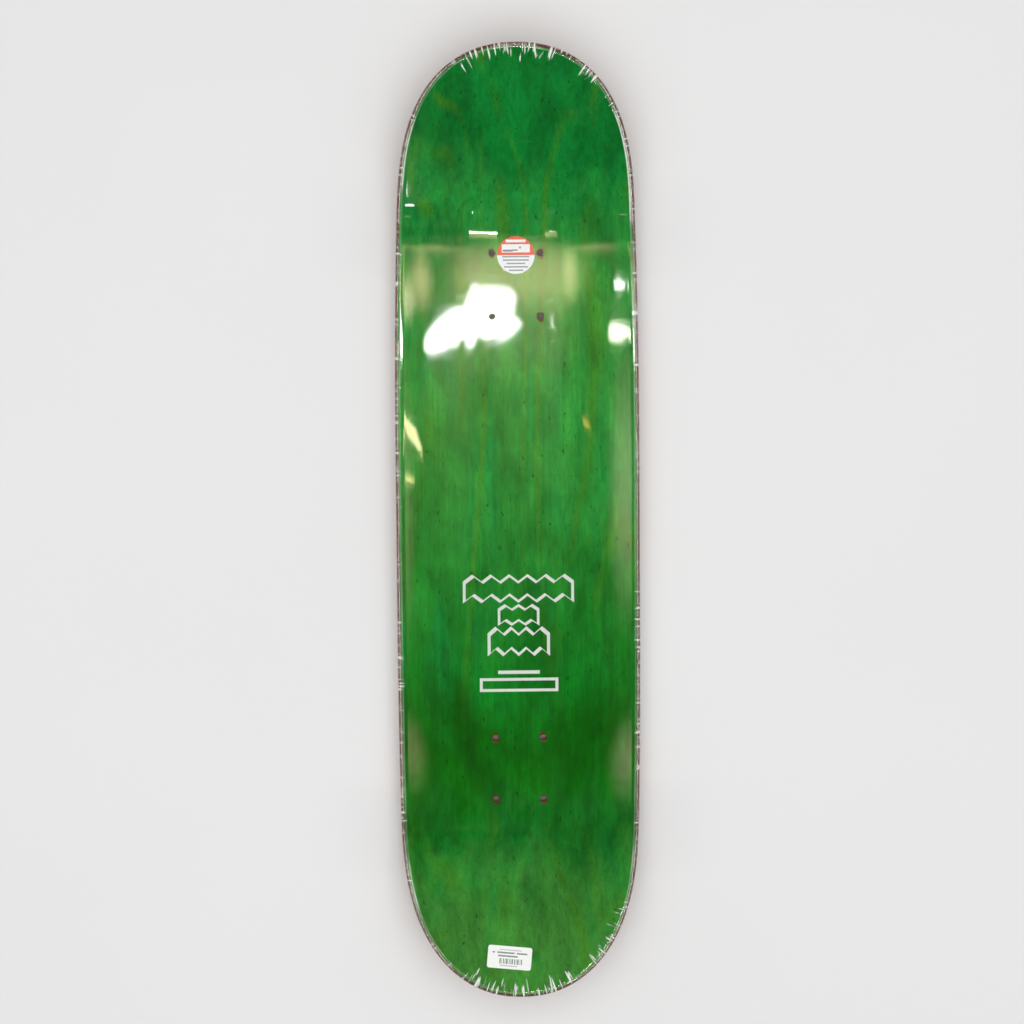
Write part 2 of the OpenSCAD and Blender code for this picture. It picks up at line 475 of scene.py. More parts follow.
def grain(tree, place, along_mm, across_mm, detail=2.0, roughness=0.5, distortion=0.0):
    """Noise drawn out along the deck, its patches about so long and so wide."""
    stretched = add(
        tree, "Mapping",
        {"Vector": place, "Scale": (1 / (along_mm * MM), 1 / (across_mm * MM), 1 / (across_mm * MM))},
    )
    return add(
        tree, "TexNoise",
        {"Vector": stretched, "Scale": 1.0, "Detail": detail, "Roughness": roughness,
         "Distortion": distortion},
    )


# How the green runs along the deck, from its first place at 0 to its last at 1, in metres: partly how the
# stain took and partly a painted sheen of lamp light
STAIN_AND_SHEEN_PLACES = (-0.327, 0.487)
DARKEST_TONE_X = -0.205
STAIN_AND_SHEEN_TONES = (
    (0.0, "#3e8634"), (0.10, "#3a8630"), (0.17, "#107422"), (0.225, "#006608"), (0.27, "#005c04"),
    (0.335, "#00741a"), (0.43, "#188026"), (0.56, "#2c8c32"), (0.72, "#2e8c34"), (0.82, "#208836"),
    (0.89, "#00752a"), (1.0, "#006f26"),
)


def stained_maple_veneer(finish):
    """Rotary-cut maple, wiped with green stain and rolled with satin lacquer.

    The stain soaks in unevenly, so the colour drifts from blue-green to olive in long patches, leaves
    the cathedral figure in olive, gathers in small pits, and stops short at the rim, which shows the
    brown of the dyed glue line. Along the deck the green is partly the stain's own and partly a painted
    sheen of lamp light. The fibre shows as fine streaks in the sheen.
    """
    material, tree = new_material("stained_maple_veneer")
    place = add(tree, "TexCoord").outputs["Object"]
    x = add(tree, "SeparateXYZ", {0: place}).outputs["X"]
    wobble = grain(tree, place, 70, 36, 4.0, 0.55, 0.6)
    drift = add(tree, "Math", {0: wobble, 1: 0.15, 2: x}, operation="MULTIPLY_ADD")
    # Painted sheen: the ramp along the deck puts lamp light into the stain's tone
    first, last = STAIN_AND_SHEEN_PLACES
    along = add(tree, "MapRange", {"Value": drift, "From Min": first, "From Max": last})
    tones = add(tree, "ValToRGB", {0: along})
    while len(tones.color_ramp.elements) < len(STAIN_AND_SHEEN_TONES):
        tones.color_ramp.elements.new(0.5)
    for element, (position, code) in zip(tones.color_ramp.elements, STAIN_AND_SHEEN_TONES):
        element.position = position
        element.color = colour(code)
    # Patches and figure are calm where the tone along the deck is darkest, before the tail's bolts
    away = add(tree, "Math", {0: x, 1: DARKEST_TONE_X}, operation="SUBTRACT")
    away = add(tree, "Math", {0: away}, operation="ABSOLUTE")
    lively = add(tree, "MapRange", {"Value": away, "From Min": 0.03, "From Max": 0.09, "To Min": 0.03})
    # Blue-green patches of 100 mm by 25 mm or so
    cool = add(
        tree, "MapRange",
        {"Value": grain(tree, place, 120, 26, 3.0, 0.55, 0.5),
         "From Min": 0.48, "From Max": 0.68, "To Max": 0.6},
    )
    cool = add(tree, "Math", {0: cool, 1: lively}, operation="MULTIPLY")
    body = add(tree, "Mix", {0: cool, 6: tones, 7: finish.teal}, data_type="RGBA").outputs[2]
    # Cathedral figure: wide olive contour bands of a slow, drawn-out noise, broken along their length
    hill = grain(tree, place, 620, 70, 1.0, 0.3, 0.0)
    rings = add(tree, "Math", {0: hill, 1: 15.0}, operation="MULTIPLY")
    ring = add(tree, "Math", {0: rings, 1: 1.0}, operation="PINGPONG")
    line = add(tree, "MapRange", {"Value": ring, "From Min": 0.62, "From Max": 0.94})
    broken = add(
        tree, "MapRange",
        {"Value": grain(tree, place, 160, 26, 2.0, 0.5),
         "From Min": 0.40, "From Max": 0.60, "To Max": 0.62},
    )
    figure = add(tree, "Math", {0: line, 1: broken}, operation="MULTIPLY")
    figure = add(tree, "Math", {0: figure, 1: lively}, operation="MULTIPLY")
    body = add(tree, "Mix", {0: figure, 6: body, 7: finish.olive}, data_type="RGBA").outputs[2]
    # Fibres about 0.8 mm wide, coarser than real ones so that they show
    fibre = grain(tree, place, 13, 0.8, 3.0, 0.65)
    streak = grain(tree, place, 60, 2.6, 3.0, 0.6)
    both = add(tree, "Math", {0: fibre, 1: streak}, operation="ADD")
    # Mottle of 20 mm by 9 mm and clouds of 80 mm by 32 mm, where the cloth left more stain and less
    mottle = grain(tree, place, 20, 9, 4.0, 0.65, 0.8)
    cloud = grain(tree, place, 80, 32, 2.0, 0.5, 0.7)
    shade = 1.0
    for pattern, low, high, darkest, lightest in (
        (both, 0.70, 1.30, 0.82, 1.20),
        (mottle, 0.36, 0.64, 0.86, 1.14),
        (cloud, 0.34, 0.66, 0.78, 1.22),
    ):
        tone = add(
            tree, "MapRange",
            {"Value": pattern, "From Min": low, "From Max": high, "To Min": darkest, "To Max": lightest},
        )
        shade = add(tree, "Math", {0: shade, 1: tone}, operation="MULTIPLY")
    body = add(tree, "VectorMath", {0: body, "Scale": shade}, operation="SCALE")
    # Small pits and mineral flecks that took up more stain
    pit = add(
        tree, "MapRange",
        {"Value": grain(tree, place, 6, 2.4, 1.0, 0.5, 0.6),
         "From Min": 0.70, "From Max": 0.76, "To Max": 0.75},
    )
    body = add(tree, "Mix", {0: pit, 6: body, 7: colour("#073c12")}, data_type="RGBA").outputs[2]
    # The stain stops short of the rim's lower part
    depth = add(tree, "Attribute", attribute_name="ply_depth").outputs["Fac"]
    bare = add(tree, "MapRange", {"Value": depth, "From Min": 0.50, "From Max": 0.38})
    body = add(tree, "Mix", {0: bare, 6: body, 7: finish.dye}, data_type="RGBA").outputs[2]
    rough = add(
        tree, "MapRange",
        {"Value": fibre, "From Min": 0.3, "From Max": 0.7, "To Min": 0.17, "To Max": 0.25},
    )
    relief = add(tree, "Bump", {"Height": both, "Strength": 1.0, "Distance": 0.03 * MM})
    shader = add(
        tree, "BsdfPrincipled",
        {"Base Color": body, "Roughness": rough, "Normal": relief, "IOR": 1.5, "Specular IOR Level": 0.26,
         "Specular Tint": colour("#f0e6a8")},
    )
    finish_material(tree, shader)
    return material


def maple_edge(name, wood, dark, along_mm, across_mm):
    """Bare maple veneer: wood streaked with its darker grain, and a brown glue line along both faces."""
    material, tree = new_material(name)
    place = add(tree, "TexCoord").outputs["Object"]
    fibre = add(
        tree, "MapRange",
        {"Value": grain(tree, place, along_mm, across_mm, 3.0, 0.6), "From Min": 0.35, "From Max": 0.68},
    )
    body = add(tree, "Mix", {0: fibre, 6: wood, 7: dark}, data_type="RGBA").outputs[2]
    depth = add(tree, "Attribute", attribute_name="ply_depth").outputs["Fac"]
    from_face = add(tree, "Math", {0: depth, 1: 0.5}, operation="SUBTRACT")
    from_face = add(tree, "Math", {0: from_face}, operation="ABSOLUTE")
    glue = add(tree, "MapRange", {"Value": from_face, "From Min": 0.43, "From Max": 0.5, "To Max": 0.6})
    lined = add(tree, "Mix", {0: glue, 6: body, 7: colour("#6b4630")}, data_type="RGBA").outputs[2]
    rough = add(tree, "MapRange", {"Value": fibre, "To Min": 0.5, "To Max": 0.66})
    relief = add(tree, "Bump", {"Height": fibre, "Strength": 0.6, "Distance": 0.03 * MM})
    shader = add(
        tree, "BsdfPrincipled", {"Base Color": lined, "Roughness": rough, "Normal": relief, "IOR": 1.5},
    )
    finish_material(tree, shader)
    return material


def long_grain_maple_edge(finish):
    """Veneer laid lengthwise and sanded at the rim: pale, with fine streaks along the edge."""
    return maple_edge("long_grain_maple_edge", finish.maple, colour("#b98a63"), 30, 0.5)


def cross_grain_maple_edge(finish):
    """Veneer laid across and cut through its end grain at the rim: darker and speckled."""
    return maple_edge("cross_grain_maple_edge", colour("#c79a72"), colour("#9a6f4c"), 0.7, 0.7)


def dyed_maple_edge(finish):
    """Veneer dyed right through before pressing: red-brown, streaked along its edge."""
    return maple_edge("dyed_maple_edge", finish.dye, colour("#4a2a1c"), 24, 0.5)


def lacquered_maple_veneer(finish):
    """Rotary-cut maple face under satin lacquer: pale, with broad soft figure and a low sheen."""
    material, tree = new_material("lacquered_maple_veneer")
    place = add(tree, "TexCoord").outputs["Object"]
    hill = grain(tree, place, 330, 60, 1.0, 0.4, 0.3)
    rings = add(tree, "Math", {0: hill, 1: 22.0}, operation="MULTIPLY")
    ring = add(tree, "Math", {0: rings, 1: 1.0}, operation="PINGPONG")
    fibre = grain(tree, place, 16, 0.7, 3.0, 0.6)
    figure = add(tree, "Math", {0: ring, 1: 0.35, 2: fibre}, operation="MULTIPLY_ADD")
    share = add(tree, "MapRange", {"Value": figure, "From Min": 0.35, "From Max": 0.95})
    body = add(tree, "Mix", {0: share, 6: finish.maple, 7: colour("#bf8f64")}, data_type="RGBA").outputs[2]
    rough = add(tree, "MapRange", {"Value": fibre, "To Min": 0.3, "To Max": 0.45})
    relief = add(tree, "Bump", {"Height": fibre, "Strength": 0.6, "Distance": 0.03 * MM})
    shader = add(
        tree, "BsdfPrincipled", {"Base Color": body, "Roughness": rough, "Normal": relief, "IOR": 1.5},
    )
    finish_material(tree, shader)
    return material


# What the film's mesh tells its material: place round the rim and distance from it, in mm, and how
# much the film gathers and how strong the painted highlight along the rim is there
FILM_MARKS = ("rim_place", "from_rim", "gather", "painted_rim_highlight")


def shrink_wrap_film(finish):
    """Clear polyolefin film, shrunk on with hot air: see-through, with sharp reflections.

    Each side mirrors about 3% face on and all of it at a glancing angle. A painted highlight, flat
    white, lies along the rim and on the short creases that run in from the rim where the film gathers.
    """
    material, tree = new_material("shrink_wrap_film")
    place = add(tree, "TexCoord").outputs["Object"]
    facing = add(tree, "LayerWeight", {"Blend": 0.5}).outputs["Facing"]
    glance = add(tree, "Math", {0: facing, 1: 5.0}, operation="POWER")
    gloss = add(tree, "Math", {0: glance, 1: 0.94, 2: 0.032}, operation="MULTIPLY_ADD")
    ripple = grain(tree, place, 26, 20, 2.0, 0.4, 0.5)
    # Creases about 1 mm wide, and how far in each one runs
    rim_place, from_rim, gather, painted_rim_highlight = (
        add(tree, "Attribute", attribute_name=mark).outputs["Fac"] for mark in FILM_MARKS
    )
    x = add(tree, "SeparateXYZ", {0: place}).outputs["X"]
    round_rim = add(tree, "CombineXYZ", {"X": rim_place, "Y": from_rim, "Z": x})
    lay = add(tree, "Mapping", {"Vector": round_rim, "Scale": (1 / 2.0, 1 / 22, 3.0)})
    crease = add(tree, "TexNoise", {"Vector": lay, "Scale": 1.0, "Detail": 1.5})
    crease = add(tree, "MapRange", {"Value": crease, "From Min": 0.55, "From Max": 0.66})
    lay = add(tree, "Mapping", {"Vector": round_rim, "Scale": (1 / 5.5, 0, 5.0)})
    length = add(tree, "TexNoise", {"Vector": lay, "Scale": 1.0, "Detail": 1.0})
    length = add(
        tree, "MapRange",
        {"Value": length, "From Min": 0.35, "From Max": 0.68, "To Min": 3.0, "To Max": 19.0},
    )
    run = add(tree, "Math", {0: length, 1: gather}, operation="MULTIPLY")
    inside = add(tree, "Math", {0: run, 1: from_rim}, operation="SUBTRACT")
    inside = add(tree, "MapRange", {"Value": inside, "From Min": -2.0, "From Max": 1.5})
    crease = add(tree, "Math", {0: crease, 1: inside}, operation="MULTIPLY")
    # The painted highlight along the rim, stronger and weaker by turns and finely serrated
    line = painted_rim_highlight
    for pattern, low, high, weakest in (
        (grain(tree, place, 90, 300, 2.0), 0.38, 0.62, 0.50),
        (grain(tree, place, 1.8, 1.8, 1.0), 0.35, 0.60, 0.65),
    ):
        tone = add(
            tree, "MapRange", {"Value": pattern, "From Min": low, "From Max": high, "To Min": weakest},
        )
        line = add(tree, "Math", {0: line, 1: tone}, operation="MULTIPLY")
    # Painted highlight: the rim line and the creases are painted flat white for the light they catch
    white = add(tree, "Math", {0: line, 1: crease}, operation="MAXIMUM")
    painted_highlight = add(tree, "Math", {0: white, 1: 0.78}, operation="MULTIPLY")
    bumps = add(tree, "Math", {0: crease, 1: 3.0, 2: ripple}, operation="MULTIPLY_ADD")
    relief = add(tree, "Bump", {"Height": bumps, "Strength": 0.3, "Distance": 0.08 * MM})
    clear = add(tree, "BsdfTransparent", {"Color": (0.985, 0.99, 0.985, 1)})
    shine = add(tree, "BsdfGlossy", {"Color": (1, 1, 1, 1), "Roughness": 0.035, "Normal": relief})
    highlight_white = add(tree, "BsdfDiffuse", {"Color": colour("#f4f8f0")})
    film = add(tree, "MixShader", {0: gloss, 1: clear, 2: shine})
    shader = add(tree, "MixShader", {0: painted_highlight, 1: film, 2: highlight_white})
    finish_material(tree, shader)
    return material


def printed_paper(name, roughness):
    """Ink and paper by the piece's own ink colours, with a faint mottle of the stock."""
    material, tree = new_material(name)
    place = add(tree, "TexCoord").outputs["Object"]
    ink = add(tree, "Attribute", attribute_name="ink").outputs["Color"]
    mottle = add(
        tree, "MapRange",
        {"Value": grain(tree, place, 0.9, 0.9, 2.0),
         "From Min": 0.3, "From Max": 0.7, "To Min": 0.93, "To Max": 1.03},
    )
    body = add(tree, "VectorMath", {0: ink, "Scale": mottle}, operation="SCALE")
    shader = add(tree, "BsdfPrincipled", {"Base Color": body, "Roughness": roughness, "IOR": 1.5})
    finish_material(tree, shader)
    return material


def sticker_vinyl(finish):
    """Screen-printed white vinyl under a gloss varnish: bright flat inks and a soft shine."""
    return printed_paper("sticker_vinyl", 0.3)


def label_paper(finish):
    """Coated thermal paper: near white, with grey-black print and hardly any shine."""
    return printed_paper("label_paper", 0.5)


def screen_print_ink(finish):
    """Opaque white screen ink on lacquer: flat and pale, with a faint drag of the squeegee."""
    material, tree = new_material("screen_print_ink")
    place = add(tree, "TexCoord").outputs["Object"]
    drag = add(
        tree, "MapRange",
        {"Value": grain(tree, place, 5, 0.8, 3.0),
         "From Min": 0.3, "From Max": 0.7, "To Min": 0.9, "To Max": 1.02},
    )
    body = add(tree, "VectorMath", {0: finish.ink[:3], "Scale": drag}, operation="SCALE")
    shader = add(tree, "BsdfPrincipled", {"Base Color": body, "Roughness": 0.5, "IOR": 1.5})
    finish_material(tree, shader)
    return material


def painted_floor(finish):
    """Matt pale grey studio floor, rolled paint: even, with no shine to speak of."""
    material, tree = new_material("painted_floor")
    place = add(tree, "TexCoord").outputs["Object"]
    tone = add(
        tree, "Mix",
        {0: grain(tree, place, 300, 300, 2.0), 6: colour("#e4e4e4"), 7: colour("#e8e8e8")},
        data_type="RGBA",
    ).outputs[2]
    shader = add(tree, "BsdfPrincipled", {"Base Color": tone, "Roughness": 0.9, "Specular IOR Level": 0.0})
    finish_material(tree, shader)
    return material


# ---- Pieces ----

PLY_ROWS = 200
FACE_COLUMNS = 48
INNER_COLUMNS = 12
HOLE_FLARE = 0.35
# How far a piece may stand off its CAD node's box, in mm
PLY_ALLOWANCE = 0.6
PAPER_ALLOWANCE = 0.3

# Every ply from the underside up: CAD node, material slot, finish, steps round its part of the rim
PLY_STACK = (
    ("bottom_face_ply", "face_maple", lacquered_maple_veneer, 10),
    ("lower_long_ply", "long_grain_maple", long_grain_maple_edge, 5),
    ("lower_cross_ply", "cross_grain_maple", cross_grain_maple_edge, 3),
    ("core_ply", "long_grain_maple", long_grain_maple_edge, 2),
    ("upper_cross_ply", "cross_grain_maple", cross_grain_maple_edge, 3),
    ("upper_long_ply", "dyed_maple", dyed_maple_edge, 5),
    ("top_face_ply", "stained_maple", stained_maple_veneer, 10),
)


class DECK_OT_press_plies(bpy.types.Operator):
    """Press the seven plies of the deck, drill them and finish their faces and edges"""

    bl_idname = "deck.press_plies"
    bl_label = "Press plies"

    def execute(self, context):
        sizes = context.scene.deck_sizes
        press = Pressing(sizes)
        made = {}
        for number, (node, slot, finish, steps) in enumerate(PLY_STACK):
            if finish not in made:
                made[finish] = finish(context.scene.deck_finish)
            shown = number in (0, PLIES - 1)
            bm = grid_block(PLY_ROWS, FACE_COLUMNS if shown else INNER_COLUMNS, steps)
            depth = bm.verts.layers.float.new("ply_depth")
            low = number * press.ply
            for vert in bm.verts:
                across, along, up = vert.co.x, (vert.co.y + 1) / 2, vert.co.z
                vert[depth] = up
                # Even steps round the rim of the two face plies
                if number == PLIES - 1:
                    up = math.sin(up * math.pi / 2)
                elif number == 0:
                    up = 1 - math.cos(up * math.pi / 2)
                vert.co = press.place(along, across, low + up * press.ply)
            close_up(bm)
            piece = make_object(node + "_wood", bm, made[finish], slot, node)
            drill(piece, sizes, HOLE_FLARE * MM if number == PLIES - 1 else 0.0)
            check_place(piece, node, PLY_ALLOWANCE * MM)
        return {"FINISHED"}


def rim_distance(press, x, y):
    """About how far a point on a rounded end lies inside the outline."""
    end, tip = (press.NOSE_END, press.nose_tip) if x > 0 else (press.TAIL_END, press.tail_tip)
    reach = tip - end[0]
    wide = press.width_at(abs(x), end, tip)
    out = max(abs(x) - end[0], 0.0) / reach
    aside = abs(y) / wide
    value = out ** end[3] + aside ** press.CORNER_SQUARENESS
    steep = math.hypot(
        end[3] * out ** (end[3] - 1) / reach,
        press.CORNER_SQUARENESS * aside ** (press.CORNER_SQUARENESS - 1) / wide,
    )
    return (1 - value) / max(steep, 1e-6)


# Gathers of the film at the rim: end, from and to round the end in degrees, strength, height in mm
GATHERS = (
    (1, -16, 27, 1.0, 0.30),
    (1, -42, -34, 0.9, 0.25),
    (1, -74, -50, 0.35, 0.15),
    (-1, -34, 32, 0.9, 0.30),
    (-1, -76, -44, 0.8, 0.30),
    (-1, 40, 52, 0.4, 0.20),
)
# Centre and radius of the circle that stands for a rounded end, in mm
END_CENTRE = 305
END_RADIUS = 100


def around_end(x, y):
    """The angle round the centre of the rounded end, in degrees, from its tip."""
    return math.degrees(math.atan2(y, abs(x) - END_CENTRE))


def gathered(x, y):
    """How much the film gathers round an end there, from 0 to 1, and how high, in mm."""
    amount, height = 0.22, 0.0
    if abs(x) < 250:
        return amount, height
    for end, start, stop, strength, top in GATHERS:
        angle = around_end(x, y)
        if end * x < 0 or not start - 5 < angle < stop + 5:
            continue
        shown = smooth_step(start - 4, start, angle) * smooth_step(stop + 4, stop, angle)
        amount = max(amount, shown * strength)
        height = max(height, shown * top)
    return amount, height


def gather_height(press, x, y):
    """Height of the film's gathers at the rim of nose and tail, in mm."""
    amount, top = gathered(x, y)
    if top == 0.0:
        return 0.0
    arc = math.radians(around_end(x, y)) * END_RADIUS
    ridge = max(noise.noise(Vector((arc / 7, 7.3, x / 40))) + 0.15, 0.0)
    return top * 2.0 * ridge * smooth_step(11.0, 3.0, rim_distance(press, x, y))


# Where the painted highlight lies along the rim: end, from and to round the end in degrees, strength
RIM_HIGHLIGHT_ARCS = (
    (1, 62, 99, 0.95),
    (1, -114, -58, 1.0),
    (1, -13, 12, 0.6),
    (-1, 76, 100, 0.95),
    (-1, -108, -92, 0.45),
)


def rim_highlight_strength(x, y):
    """How strong the painted highlight along the rim is there, from 0 to 1."""
    shown = 0.16
    for end, start, stop, strength in RIM_HIGHLIGHT_ARCS:
        angle = around_end(x, y)
        if end * x > 240:
            part = smooth_step(start - 5, start + 5, angle) * smooth_step(stop + 5, stop - 5, angle)
            shown = max(shown, part * strength)
    if y < 0:
        shown = max(shown, 0.5 * smooth_step(130, 150, x) * smooth_step(215, 200, x))
    return shown


def rim_marks(press, x, y):
    """Where a point lies round the rim and how far in, in mm, and how much the film gathers there."""
    if abs(x) < END_CENTRE - 25:
        place = math.copysign(math.pi / 2 * END_RADIUS + END_CENTRE - abs(x), y)
    else:
        place = math.radians(around_end(x, y)) * END_RADIUS
    if abs(x) > press.TAIL_END[0]:
        inside = rim_distance(press, x, y)
    else:
        end = press.NOSE_END if x > 0 else press.TAIL_END
        inside = press.width_at(abs(x), end, press.nose_tip) - abs(y)
    return place, inside, gathered(x, y)[0]


# How high the film stands over the hollow at most, and how far to the side, in mm
BRIDGE_HEIGHT = 0.55
BRIDGE_ASIDE = 50
# Heights of its broad and its short swells, in mm
BROAD_SWELL = 0.014
SHORT_SWELL = 0.003


def film_swell(x, y, sticker):
    """How far the film stands off the wood where it spans the hollow, with its swells, in mm."""
    out = abs(y) / BRIDGE_ASIDE
    bridge = BRIDGE_HEIGHT * out * out * math.exp(1 - out * out)
    bridge *= smooth_step(300, 240, abs(x)) * smooth_step(104, 90, abs(y))
    broad = BROAD_SWELL * (noise.noise(Vector((x / 70, y / 38, 3.0))) + 1)
    short = SHORT_SWELL * (noise.noise(Vector((x / 24, y / 16, 9.0))) + 1)
    # It has no swells under the sticker
    clear = smooth_step(17, 34, math.hypot(x - sticker.x, y - sticker.y))
    return bridge + (broad + short) * clear


class DECK_OT_wrap_film(bpy.types.Operator):
    """Shrink the clear film round the deck, with its gathers at the rim"""

    bl_idname = "deck.wrap_film"
    bl_label = "Wrap film"

    ROWS = 250
    COLUMNS = 64
    STEPS = 14

    def execute(self, context):
        sizes = context.scene.deck_sizes
        press = Pressing(sizes)
        bm = grid_block(self.ROWS, self.COLUMNS, self.STEPS)
        layers = [bm.verts.layers.float.new(mark) for mark in FILM_MARKS]
        middle = press.thickness / 2
        reach = middle + sizes.film_gap
        low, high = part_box("warning_sticker")
        sticker = (low + high) / 2 / MM
        for vert in bm.verts:
            across, along, up = vert.co.x, (vert.co.y + 1) / 2, vert.co.z
            level = middle + reach * math.sin((up - 0.5) * math.pi)
            place = press.place(along, across, level, sizes.film_gap)
            if up > 0.6:
                x, y = place.x / MM, place.y / MM
                # A painted highlight along the rounded rim
                line = 0.0
                if abs(across) > 0.999:
                    inset = press.rim_inset(min(level, press.thickness))
                    line = smooth_step(2.6, 4.4, inset) * smooth_step(5.15, 4.7, inset)
                    line *= rim_highlight_strength(x, y)
                for layer, mark in zip(layers, (*rim_marks(press, x, y), line)):
                    vert[layer] = mark
                lift = gather_height(press, x, y) + film_swell(x, y, sticker)
                place.z += smooth_step(0.6, 0.9, up) * lift * MM
            vert.co = place
        close_up(bm, 180)
        piece = make_object(
            "shrink_film_wrap", bm, shrink_wrap_film(context.scene.deck_finish), "shrink_film",
            "shrink_film",
        )
        wall = piece.modifiers.new("film", "SOLIDIFY")
        wall.thickness = sizes.film_thickness * MM
        wall.offset = 1.0
        drill(piece, sizes, 0.0)
        return {"FINISHED"}


def ink_cells(bm, paper, inks):
    """Cuts a flat piece along its blocks of ink and gives every cell its colour.

    A block is left, bottom, right, top and colour, in mm. Where two meet, the later one wins.
    """
    inks = [(a * MM, b * MM, c * MM, d * MM, ink) for a, b, c, d, ink in inks]
    for axis, normal in ((0, (1, 0, 0)), (1, (0, 1, 0))):
        for place in sorted({ink[side] for ink in inks for side in (axis, axis + 2)}):
            bmesh.ops.bisect_plane(
                bm, geom=bm.verts[:] + bm.edges[:] + bm.faces[:], dist=TOUCHING,
                plane_co=tuple(place * n for n in normal), plane_no=normal,
            )
    layer = bm.loops.layers.float_color.new("ink")
    for face in bm.faces:
        middle = face.calc_center_median()
        tint = paper
        for low_x, low_y, high_x, high_y, ink in inks:
            if low_x < middle.x < high_x and low_y < middle.y < high_y:
                tint = ink
        for loop in face.loops:
            loop[layer] = tint


class DECK_OT_stick_sticker(bpy.types.Operator):
    """Stick the round two-tone sticker between the front bolts"""

    bl_idname = "deck.stick_sticker"
    bl_label = "Stick round sticker"

    RAISED = 0.1

    def execute(self, context):
        sizes = context.scene.deck_sizes
        low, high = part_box("warning_sticker")
        radius = sizes.sticker_diameter / 2 * MM
        bm = bmesh.new()
        bmesh.ops.create_circle(bm, cap_ends=True, segments=96, radius=radius)
        raise_slab(bm, sizes.paper_thickness * MM)
        red = colour("#e8603f")
        grey = colour("#9a9c9c")
        white = colour("#e9ebe9")
        dark = colour("#7c8884")
        # x runs to the nose, so the red half is the upper one: (bottom, left, top, right)
        inks = [
            (0.0, -20, 20, 20, red), (10.8, -8.5, 13.2, 8.5, white), (2.2, -12, 9.2, 12, white),
            (3.0, 2.5, 4.6, 11.2, dark), (3.6, -1.5, 4.8, 2.5, dark), (5.6, -4.5, 7.2, -2.6, grey),
        ]
        for row, half in enumerate((11.5, 11.0, 8.0, 10.2, 6.0)):
            inks.append((-2.0 - 2.9 * row, -half, -0.7 - 2.9 * row, half, grey))
        ink_cells(bm, white, inks)
        # The film spans the hollow under it, so it lies a little higher than on a flat film
        place = ((low.x + high.x) / 2, (low.y + high.y) / 2, low.z + self.RAISED * MM)
        bmesh.ops.translate(bm, verts=bm.verts[:], vec=place)
        close_up(bm)
        piece = make_object(
            "round_sticker", bm, sticker_vinyl(context.scene.deck_finish), "sticker_vinyl",
            "warning_sticker",
        )
        check_place(piece, "warning_sticker", PAPER_ALLOWANCE * MM)
        return {"FINISHED"}


class DECK_OT_stick_label(bpy.types.Operator):
    """Stick the stock label on the tail, with plain rows and bars"""

    bl_idname = "deck.stick_label"
    bl_label = "Stick stock label"

    CORNER = 2.0
    TURN = math.radians(-5.6)

    def execute(self, context):
        sizes = context.scene.deck_sizes
        low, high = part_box("stock_label")
        bm = bmesh.new()
        bmesh.ops.create_grid(bm, x_segments=1, y_segments=1, size=0.5)
        bmesh.ops.scale(bm, verts=bm.verts[:], vec=(sizes.label_length * MM, sizes.label_width * MM, 1))
        bmesh.ops.bevel(
            bm, geom=bm.verts[:], offset=self.CORNER * MM, offset_type="OFFSET", affect="VERTICES",
            segments=6, profile=0.5, material=-1,
        )
        raise_slab(bm, sizes.paper_thickness * MM)
        paper = colour("#eef0ec")
        ink = colour("#7f8a84")
        faint = colour("#b9beb9")
        inks = [
            (6.0, -10, 6.9, 9, faint), (3.2, -15, 4.6, -6, ink), (3.2, -4, 4.6, 11, ink),
            (3.2, 13, 4.6, 15, ink), (0.4, -7, 1.8, 10, ink), (-7.6, -7, -6.6, 8, faint),
        ]
        left = -11.0
        for number, wide in enumerate((0.9, 0.5, 1.4, 0.6, 0.9, 1.3, 0.5, 0.8, 1.5, 0.6, 0.9, 0.5, 1.2)):
            inks.append((-5.6, left, -1.0, left + wide, ink))
            left += wide + (0.6, 0.9, 0.5)[number % 3]
        ink_cells(bm, paper, inks)
        turned = Matrix.Rotation(sizes.tail_angle, 4, "Y") @ Matrix.Rotation(self.TURN, 4, "Z")
        bmesh.ops.transform(bm, matrix=turned, verts=bm.verts[:])
        middle = [(min(v.co[i] for v in bm.verts) + max(v.co[i] for v in bm.verts)) / 2 for i in range(3)]
        moved = (low + high) / 2 - Vector(middle)
        bmesh.ops.translate(bm, verts=bm.verts[:], vec=moved)
        close_up(bm)
        piece = make_object(
            "stock_label_paper", bm, label_paper(context.scene.deck_finish), "label_paper", "stock_label",
        )
        check_place(piece, "stock_label", PAPER_ALLOWANCE * MM)
        return {"FINISHED"}


class DECK_OT_print_graphic(bpy.types.Operator):
    """Give the printed graphic its ink"""

    bl_idname = "deck.print_graphic"
    bl_label = "Print graphic"

    def execute(self, context):
        printed = frame["nodes"]["printed_graphic"]
        printed.data.materials.clear()
        printed.data.materials.append(screen_print_ink(context.scene.deck_finish))
        return {"FINISHED"}


# ---- Stage ----

